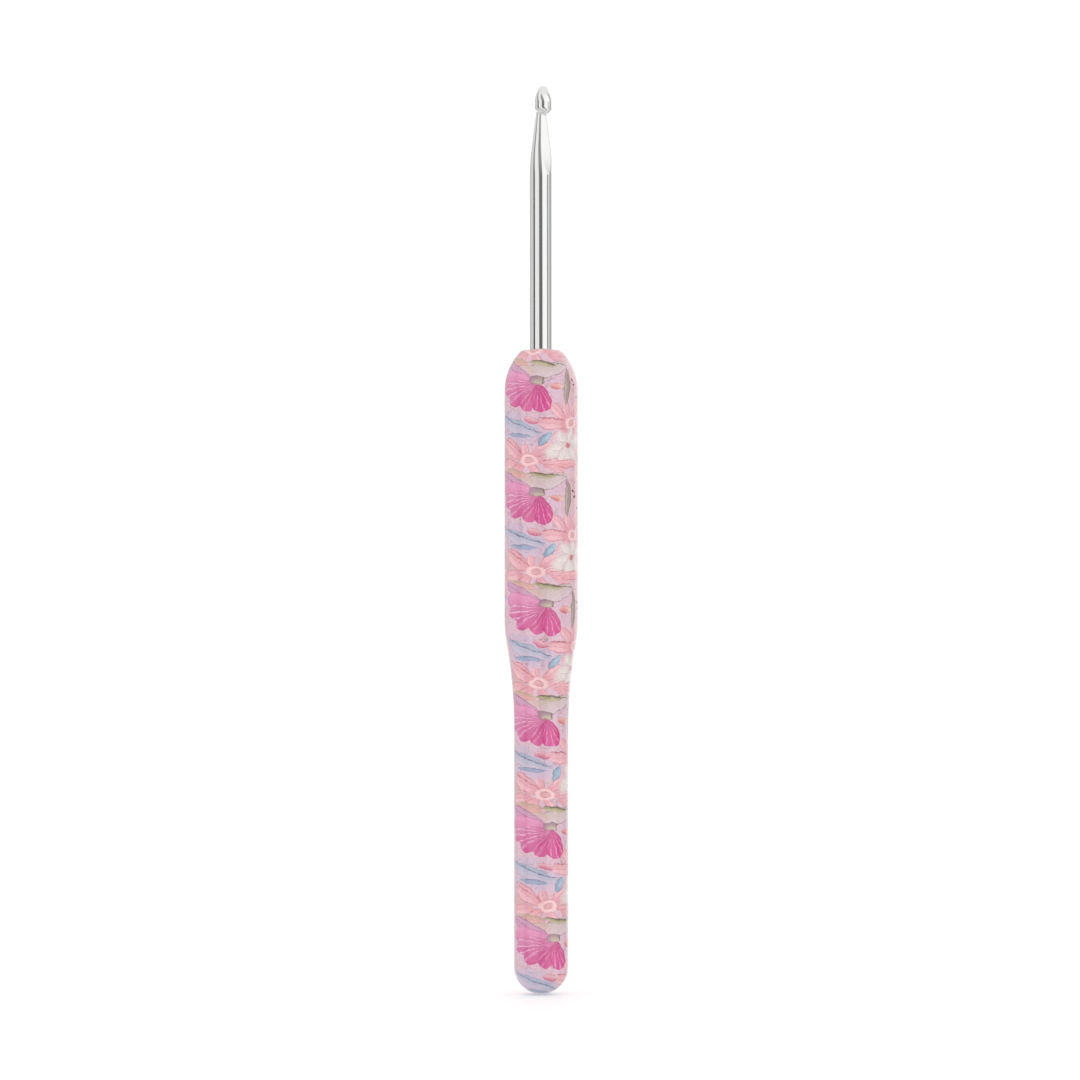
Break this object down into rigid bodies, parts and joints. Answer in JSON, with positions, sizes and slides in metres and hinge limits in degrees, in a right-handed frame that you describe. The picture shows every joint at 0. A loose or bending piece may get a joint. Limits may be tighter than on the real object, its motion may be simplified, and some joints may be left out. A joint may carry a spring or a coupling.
{
  "type": "crochet hook",
  "caption": "Polished metal crochet hook with an inline lipped head, in a rounded, waisted plastic handle with a glossy floral print.",
  "frame": {"origin": "lowest point of the rounded tail, on the tool's axis", "axes": "+Z along the tool towards the tip; -Y is the front; the hook's mouth faces 55 degrees from -Y towards +X"},
  "size_m": [0.013, 0.013, 0.16],
  "materials": {
    "polished_metal": "polished",
    "handle_plastic": "moulded, under the film",
    "resin": "cured resin",
    "printed_film": "floral print in pinks, lilac and blue",
    "lacquer": "glossy clear lacquer over the print"
  },
  "bodies": {
    "root": {"hook_shaft": "polished_metal", "handle_core": "handle_plastic", "adhesive": "resin", "print_film": "printed_film", "clear_coat": "lacquer"}
  },
  "joints": []
}
